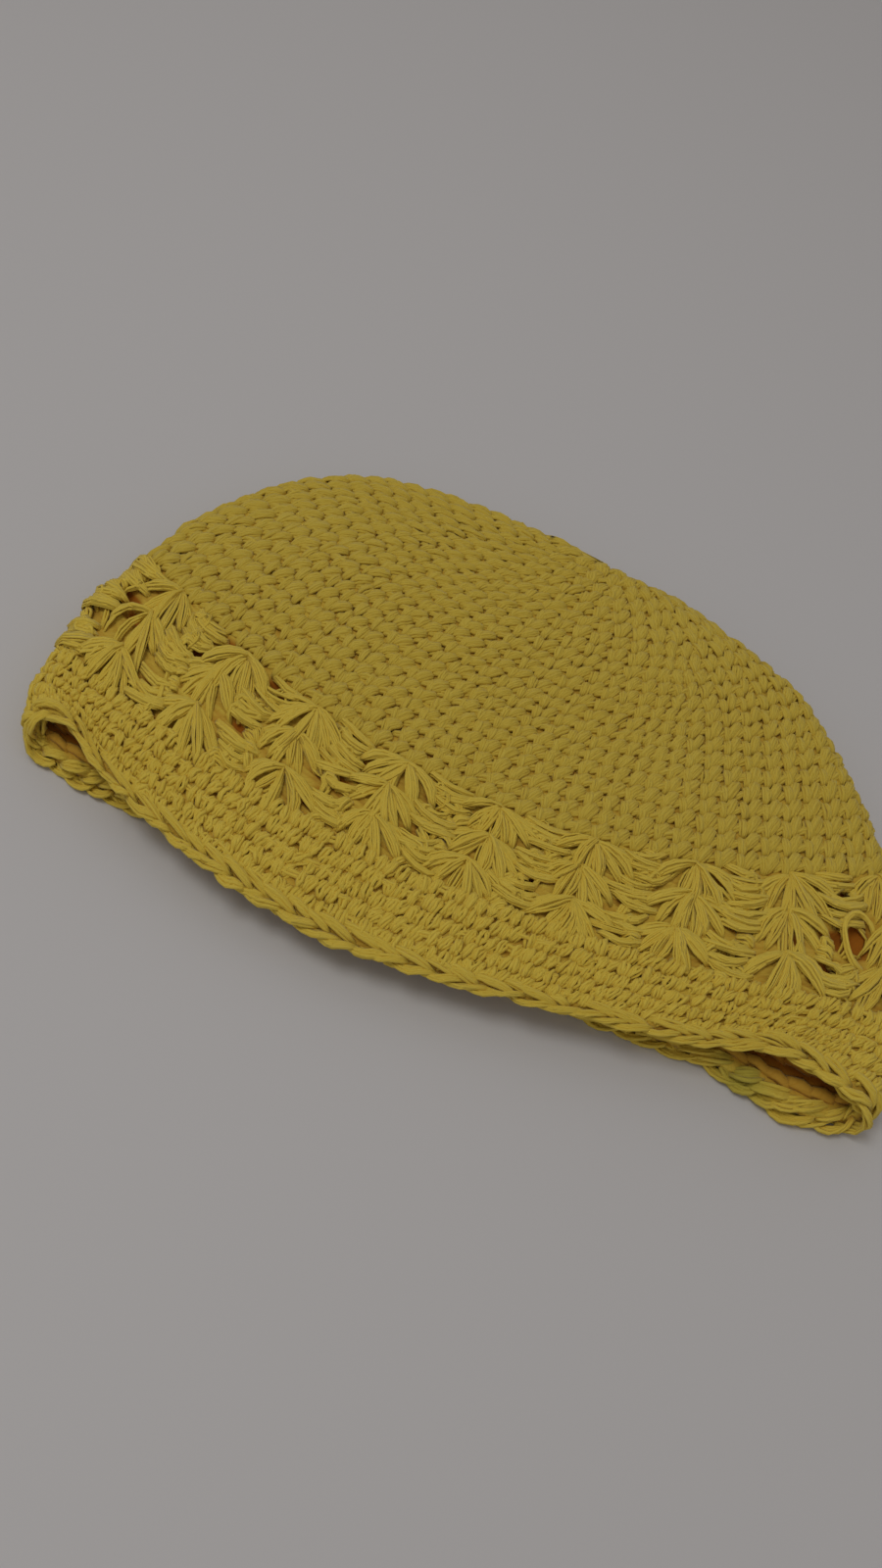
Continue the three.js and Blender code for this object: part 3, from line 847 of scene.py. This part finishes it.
# The shells' yarn is painted lighter, against the shade between their strands; its painted shade of the
# depth starts at the middle of the fabric.
shell_yarn = cotton("shell_yarn", 0.0, -1.3, painted_brightness=1.12, ridge=0.00002)
for shell_round, shell_top in enumerate(SHELL_TOPS):
    routes, runs, ways = [], [], []
    for column in range(SHELL_COLUMNS):
        run = shell_top + shell_random.normal(0, SHELL_RUN_STRAY)
        way = FIRST_SHELL_WAY + column / SHELL_COLUMNS - SHELL_LEAN * shell_round
        way += shell_random.normal(0, SHELL_WAY_STRAY)
        full = bool(seen(way, run))
        parts = [(shell_posts(shell_random), POST_STRANDS, way)]
        for kind in VALLEY:
            parts.append((valley_lines(kind, shell_random), kind[2], way + 0.5 / SHELL_COLUMNS))
        if abs(np.mod(way - BULGE_WAY + 0.5, 1) - 0.5) < BULGE_REACH:
            for lines, _, _ in parts:
                lines[:, 1:-1, 2] += shell_random.uniform(*BULGE, (len(lines), 1))
        for lines, strands, middle_way in parts:
            strands = strands if full else HIDDEN_STRANDS
            made = smooth_route(spread_strands(lines, strands, shell_random), shell_bar["steps"])
            routes.append(made)
            runs.append(np.full(len(made), run))
            ways.append(np.full(len(made), middle_way))
    routes, runs, ways = np.concatenate(routes), np.concatenate(runs), np.concatenate(ways)
    batches = [bent_yarn(shell_bar, routes, runs, ways)]
    if shell_round == EYELET_ROUND:
        loop = spread_strands(np.array([EYELET_LOOP]), EYELET_STRANDS, shell_random)
        loop = smooth_route(loop, eyelet_bar["steps"])
        loop_runs, loop_ways = np.full((2, len(loop)), np.array(EYELET_AT)[:, None])
        batches.append(bent_yarn(eyelet_bar, loop, loop_runs, loop_ways))
    piece = joined_mesh(f"shell_round_{shell_round + 1}", batches, shell_yarn)
    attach(piece, "root")
    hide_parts("shell_band")

# ---------------------------------------------------------------------------------------------
# The brim: five rounds of single crochet worked a little tighter, eighty-two stitches to a
# round and less even than the crown's. On the inside each stitch shows as a short bar.

BRIM_RUN = 113.0
BRIM_ROUNDS = 5
BRIM_ROUND = 3.6
BRIM_STITCHES = 82
BRIM_LEAN = 0.22
BRIM_FLATTENS = 0.09  # how much less each round stands proud than the one above it
BRIM_UNRULY = 2.5
INSIDE_ROWS = 7
INSIDE_UP = 0.6  # how much of a round the first of them lies above the brim's lower end
INSIDE_SHIFT = 0.5  # how much of a stitch each row sets off from the one below
INSIDE_STRAY, INSIDE_WAY_STRAY = 0.15, 0.05
# The bars on the inside take painted shade, darker for each row deeper into the mouth.
INSIDE_FIRST_PAINTED_SHADE = -0.35  # the height that gives the first of them its colour
INSIDE_PAINTED_SHADE_STEP = -0.3  # and how much deeper each after it looks
# Down, round as a share of a stitch's width, out and thickness of a bar on the inside.
INSIDE_BAR = (
    (0.5, -0.70, -1.0, 0.7),
    (0.2, -0.42, -2.0, 1.0),
    (-0.2, 0.0, -2.3, 1.15),
    (-0.1, 0.42, -2.0, 1.0),
    (-0.5, 0.70, -1.0, 0.7),
)
# The stitches of the brim are pulled square: both legs stand nearly upright and touch.
UPRIGHT_LEFT_LEG = (
    (-0.08, -0.18, -0.60, 0.90, 0.45),
    (0.08, -0.20, 0.60, 1.05, 0.85),
    (0.34, -0.24, 0.98, 1.10, 1.15),
    (0.64, -0.29, 0.98, 1.10, 1.15),
    (0.90, -0.33, 0.60, 1.00, 0.85),
    (1.08, -0.36, -0.60, 0.85, 0.45),
)
UPRIGHT_RIGHT_LEG = (
    (-0.02, 0.33, -0.60, 0.90, 0.45),
    (0.12, 0.31, 0.60, 1.05, 0.85),
    (0.38, 0.27, 1.00, 1.10, 1.15),
    (0.66, 0.24, 1.00, 1.10, 1.15),
    (0.92, 0.21, 0.62, 1.00, 0.85),
    (1.12, 0.18, -0.60, 0.85, 0.45),
)
UPRIGHT_BODY = (
    (0.52, -0.62, -0.40, 0.90, 0.40),
    (0.50, -0.46, 0.35, 1.05, 0.50),
    (0.46, -0.12, 0.55, 1.10, 0.60),
    (0.46, 0.20, 0.55, 1.10, 0.60),
    (0.48, 0.42, 0.35, 1.05, 0.50),
    (0.52, 0.60, -0.40, 0.90, 0.40),
)
UPRIGHT_STITCH = ((UPRIGHT_LEFT_LEG, 5), (UPRIGHT_RIGHT_LEG, 5), (UPRIGHT_BODY, 2))
brim_random = np.random.default_rng(23)
brim_batches = []
ways = np.arange(BRIM_STITCHES) / BRIM_STITCHES
for round_number in range(BRIM_ROUNDS):
    ways = next_ways(ways, BRIM_STITCHES, BRIM_LEAN, brim_random)
    top_run = BRIM_RUN + round_number * BRIM_ROUND
    proud = 1 - BRIM_FLATTENS * round_number
    brim_batches += single_crochet(
        top_run, BRIM_ROUND, ways, UPRIGHT_STITCH, brim_random, proud, BRIM_UNRULY
    )
inside_bar = straight_bar(sides=5, steps=4)
for row in range(INSIDE_ROWS):
    run = BRIM_RUN + BRIM_ROUND * (BRIM_ROUNDS - INSIDE_UP - row)
    width = loop_length(run) / BRIM_STITCHES
    route = np.tile(np.array(INSIDE_BAR), (BRIM_STITCHES, 1, 1)) * (1, width, 1, 1)
    route[..., :3] += brim_random.normal(0, INSIDE_STRAY, (BRIM_STITCHES, 1, 3))
    shift = INSIDE_SHIFT * row + brim_random.normal(0, INSIDE_WAY_STRAY, BRIM_STITCHES)
    route = smooth_route(route, inside_bar["steps"])
    runs = np.full(BRIM_STITCHES, run)
    # Each row's painted shade comes from one fixed height, not from its own.
    depth = (0, INSIDE_FIRST_PAINTED_SHADE + INSIDE_PAINTED_SHADE_STEP * row)
    brim_batches.append(bent_yarn(
        inside_bar, route, runs, ways + shift / BRIM_STITCHES, PLAIN_WIDE, PLAIN_DEEP, depth
    ))
# The brim's yarn is painted lighter than the crown's; its painted shade of the depth starts a little
# out of the fabric.
brim_yarn = cotton("brim_yarn", 0.3, -0.8, painted_brightness=1.09)
brim = joined_mesh("brim_stitches", brim_batches, brim_yarn)
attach(brim, "root")
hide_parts("brim_band")

# ---------------------------------------------------------------------------------------------
# The rim: the tops of the last round of stitches lie along the edge like a chain, each link two
# bundles of loose strands that start apart and run together under the next link.

RIM_LINKS = 78
RIM_MIDDLE = 132.0
# Down, round, out, fullness and half the width of the spread strands, for the half of a link on
# the outside, the half on the edge and the bar on the inside.
RIM_OUTSIDE = (
    (-1.9, -4.8, -0.6, 0.9, 0.30),
    (-1.7, -2.8, 0.80, 1.0, 0.60),
    (-1.1, -0.4, 1.30, 1.05, 0.85),
    (-0.3, 2.2, 1.15, 1.0, 0.75),
    (0.5, 4.9, -0.4, 0.9, 0.30),
)
RIM_EDGE = (
    (0.6, -4.8, -1.0, 0.9, 0.30),
    (1.6, -2.8, -0.2, 1.0, 0.60),
    (1.9, -0.4, 0.40, 1.05, 0.80),
    (1.2, 2.2, 0.90, 1.0, 0.70),
    (0.3, 4.8, -0.4, 0.9, 0.30),
)
RIM_INSIDE = (
    (-2.4, -3.8, -0.8, 0.9, 0.50),
    (-1.4, -2.2, -2.0, 1.0, 0.90),
    (-0.3, 0.0, -2.5, 1.05, 1.10),
    (0.3, 2.2, -1.9, 1.0, 0.90),
    (0.3, 3.8, -0.6, 0.9, 0.40),
)
# Each with the height that sets its painted shade: a share of its own and what is added to that.
RIM_PARTS = ((RIM_OUTSIDE, (1, 0)), (RIM_EDGE, (1, 0.7)), (RIM_INSIDE, (0, -0.2)))
RIM_STRANDS = 5
RIM_ARCH = 0.3
# Links differ in place, length, spread and place along the rim.
LINK_STRAY, LINK_LENGTH_STRAY, LINK_SPREAD_STRAY, LINK_WAY_STRAY = 0.3, 0.15, 0.12, 0.18
rim_bar = straight_bar(sides=4, steps=6)
rim_random = np.random.default_rng(31)
rim_batches = []
for half, depth in RIM_PARTS:
    lines = np.tile(np.array(half), (RIM_LINKS, 1, 1))
    lines[..., :3] += rim_random.normal(0, LINK_STRAY, (RIM_LINKS, 1, 3))
    lines[..., 1] *= rim_random.normal(1, LINK_LENGTH_STRAY, (RIM_LINKS, 1))
    lines[..., 4] *= rim_random.normal(1, LINK_SPREAD_STRAY, (RIM_LINKS, 1))
    route = spread_strands(lines, RIM_STRANDS, rim_random, arch=RIM_ARCH)
    route = smooth_route(route, rim_bar["steps"])
    ways = (np.arange(RIM_LINKS) + rim_random.normal(0, LINK_WAY_STRAY, RIM_LINKS)) / RIM_LINKS
    ways, runs = np.repeat(ways, RIM_STRANDS), np.full(len(route), RIM_MIDDLE)
    rim_batches.append(bent_yarn(rim_bar, route, runs, ways, depth=depth))
# A dull, greenish stain on the lower lip, and a dark speck inside it on the left.
RIM_MARKS = (
    ((70, -56, 4), 8.0, (0.50, 0.415, 0.06, 1)),
    ((-79, -52, 4), 1.4, (0.04, 0.03, 0.02, 1)),
)
# The rim's yarn is painted a little lighter than the crown's.
rim_yarn = cotton("rim_yarn", painted_brightness=1.06, marks=RIM_MARKS)
rim = joined_mesh("rim_loops", rim_batches, rim_yarn)
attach(rim, "root")
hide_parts("rim_edge")

# ---------------------------------------------------------------------------------------------
# The backing: what lies deep between the stitches, the crossing yarn at the heart of the
# fabric. It is one thin wall that follows the whole hat, closed at the crown, open at the mouth.
# Its colour is darkened and reddened with painted shade, in full on its inner side.

# Down the run, how far out of the middle of the fabric the front of the backing lies. It fills
# the crown and the brim nearly to the top of the stitches and lies deep under the shells.
BACKING_FRONT = ((0, 0.35), (111, 0.35), (114.5, 0.3), (130, 0.3), (134, 0.1))
BACKING_BACK = -1.5
BACKING_COLUMNS = 180
BACKING_UNEVEN = 0.2
# Dark slits in each valley of each round of shells, sunk deep and darkened further with painted
# shade: how many, how far below the shells' tops and how far round from the valley's middle at
# most, their half height, half width, tilt and depth.
SLITS = 3
SLIT_DOWN, SLIT_ASIDE = (0.5, 6.5), 2
SLIT_HALF_HEIGHT, SLIT_HALF_WIDTH, SLIT_TILT, SLIT_DEPTH = 1.0, (1.8, 3.2), 0.15, 1.4
# Under each hole the backing sinks this far, and its painted shade deepens with it.
HOLE_DEPTH = 2.2
# The heights that set its painted shade: how much lower than it lies for the front, and down
# the run for the inner side, which takes the full painted shade except near the rim.
FRONT_SHADE = 0.95
INNER_SHADE = ((0, -1.9), (125, -1.9), (129.5, -0.9), (132, -0.2))
FIBRE_ROUND, FIBRE_DOWN = 500, 3  # repeats of the fibre pattern round it, and millimetres to one
# Rows of the backing, closest together under the shells.
core_runs = np.concatenate((
    np.linspace(0.3, 12, 12), np.arange(14, 90, 1.8),
    np.arange(90, 115, 0.6), np.arange(115.5, 133, 1.7),
))
core_ways = np.linspace(0, 1, BACKING_COLUMNS, endpoint=False)
core_out = np.interp(core_runs, *np.transpose(BACKING_FRONT))[:, None]
core_uneven = np.random.default_rng(3).normal(0, BACKING_UNEVEN, (len(core_runs), BACKING_COLUMNS))
core_out = core_out + core_uneven
slit_random = np.random.default_rng(13)
for shell_round, shell_top in enumerate(SHELL_TOPS):
    for column in range(SHELL_COLUMNS):
        for _ in range(SLITS):
            run = shell_top + slit_random.uniform(*SLIT_DOWN)
            way = FIRST_SHELL_WAY + (column + 0.5) / SHELL_COLUMNS - SHELL_LEAN * shell_round
            way += slit_random.uniform(-SLIT_ASIDE, SLIT_ASIDE) / loop_length(run)
            tilt = slit_random.normal(0, SLIT_TILT)
            round_off = (np.mod(core_ways - way + 0.5, 1) - 0.5)[None] * loop_length(run)
            down_off = core_runs[:, None] - run - tilt * round_off
            half_width = slit_random.uniform(*SLIT_HALF_WIDTH)
            away = (down_off / SLIT_HALF_HEIGHT) ** 2 + (round_off / half_width) ** 4
            core_out = core_out - SLIT_DEPTH * np.exp(-away)
for hole_run, hole_way, half_height, half_width in HOLES:
    round_off = (np.mod(core_ways - hole_way + 0.5, 1) - 0.5)[None] * loop_length(hole_run)
    away = ((core_runs[:, None] - hole_run) / half_height) ** 4 + (round_off / half_width) ** 4
    core_out = core_out - HOLE_DEPTH * np.exp(-away)
front = on_fabric(*np.broadcast_arrays(core_runs[:, None], core_ways[None], core_out))
core_mesh = bpy.data.meshes.new("backing")
rows, columns = front.shape[:2]
index = np.arange(rows * columns).reshape(rows, columns)
after = np.roll(index, -1, axis=1)
faces = np.stack((index[:-1], index[1:], after[1:], after[:-1]), axis=-1).reshape(-1, 4).tolist()
faces.append(index[0].tolist())
core_mesh.from_pydata(front.reshape(-1, 3).tolist(), [], faces)
corner_at = np.zeros(len(core_mesh.loops), int)
core_mesh.loops.foreach_get("vertex_index", corner_at)
corner_way = core_ways[corner_at % columns]
wraps = (np.arange(len(corner_at)) % 4 > 1) & (corner_at % columns == 0)
corner_way = np.where(wraps, 1.0, corner_way)
fibre_down = core_runs[corner_at // columns] / FIBRE_DOWN
fibre_places = np.stack((corner_way * FIBRE_ROUND, fibre_down), axis=-1)
core_mesh.uv_layers.new(name="yarn").data.foreach_set("uv", fibre_places.ravel())
core_mesh.update()
backing = bpy.data.objects.new("backing", core_mesh)
bpy.context.scene.collection.objects.link(backing)
deselect_all()
backing.select_set(True)
bpy.context.view_layer.objects.active = backing
bpy.ops.object.modifier_add(type="SOLIDIFY")
backing.modifiers[-1].thickness = (BACKING_FRONT[0][1] - BACKING_BACK) * METRE
backing.modifiers[-1].offset = -1
bpy.ops.object.modifier_apply(modifier=backing.modifiers[-1].name)
bpy.ops.object.shade_smooth()
# Painted shade: the front's from its height less FRONT_SHADE, the inner side's from INNER_SHADE.
inner_shade = np.repeat(np.interp(core_runs, *np.transpose(INNER_SHADE)), columns)
shade = np.concatenate((core_out.ravel() - FRONT_SHADE, inner_shade))
backing.data.attributes.new("out", "FLOAT", "POINT").data.foreach_set("value", shade)
backing.data.materials.append(cotton("painted_shade_backing_yarn"))
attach(backing, "root")
